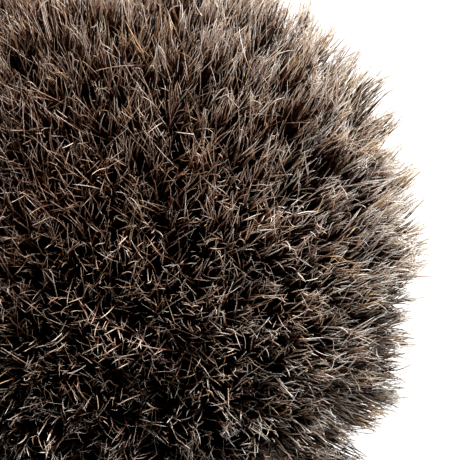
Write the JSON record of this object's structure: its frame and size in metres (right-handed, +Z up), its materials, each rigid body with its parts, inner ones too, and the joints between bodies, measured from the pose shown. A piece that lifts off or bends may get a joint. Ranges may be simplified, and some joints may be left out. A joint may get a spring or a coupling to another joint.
{
  "type": "shaving brush",
  "caption": "Barber's shaving brush: badger hair head in a plated ferrule that screws into a turned wooden handle with a weighted, plated foot.",
  "frame": {"origin": "centre of the rubber foot's underside, where the brush stands", "axes": "+Z up the axis of the brush, from the foot to the tips of the hair"},
  "size_m": [0.049, 0.049, 0.109],
  "materials": {
    "badger_hair": "natural hair with a soft sheen, dark at the root and pale brown at the tip",
    "wood": "dark close-grained wood under clear lacquer",
    "plating": "polished nickel plate on brass",
    "brass": "machined",
    "steel": "machined",
    "rubber": "matt",
    "fibre": "pressed vulcanised fibre",
    "resin": "cast amber epoxy",
    "cord": "waxed linen"
  },
  "bodies": {
    "handle": {"foot_pad": "rubber", "base_cap": "plating", "base_gasket": "fibre", "base_screw": "steel", "weight_slug": "steel", "handle_grip": "wood", "thread_insert": "brass", "collar_gasket": "fibre", "neck_collar": "plating"},
    "seal": {"seal_ring": "rubber"},
    "head": {"head_ferrule": "plating", "head_stud": "steel", "glue_bed": "resin", "knot_plug": "resin", "binding_cord": "cord", "bristles": "badger_hair"}
  },
  "joints": [
    {"name": "head_rise", "type": "slide", "parent": "handle", "child": "seal", "axis": [0, 0, 1], "range_m": [0, 0.0075]},
    {"name": "head_turn", "type": "hinge", "parent": "seal", "child": "head", "pos_m": [0, 0, 0.0461], "axis": [0, 0, 1], "range_deg": [0, 1800]}
  ],
  "couplings": [
    {"joint": "head_rise", "follows": "head_turn", "m_per_rad": 0.00023873}
  ]
}
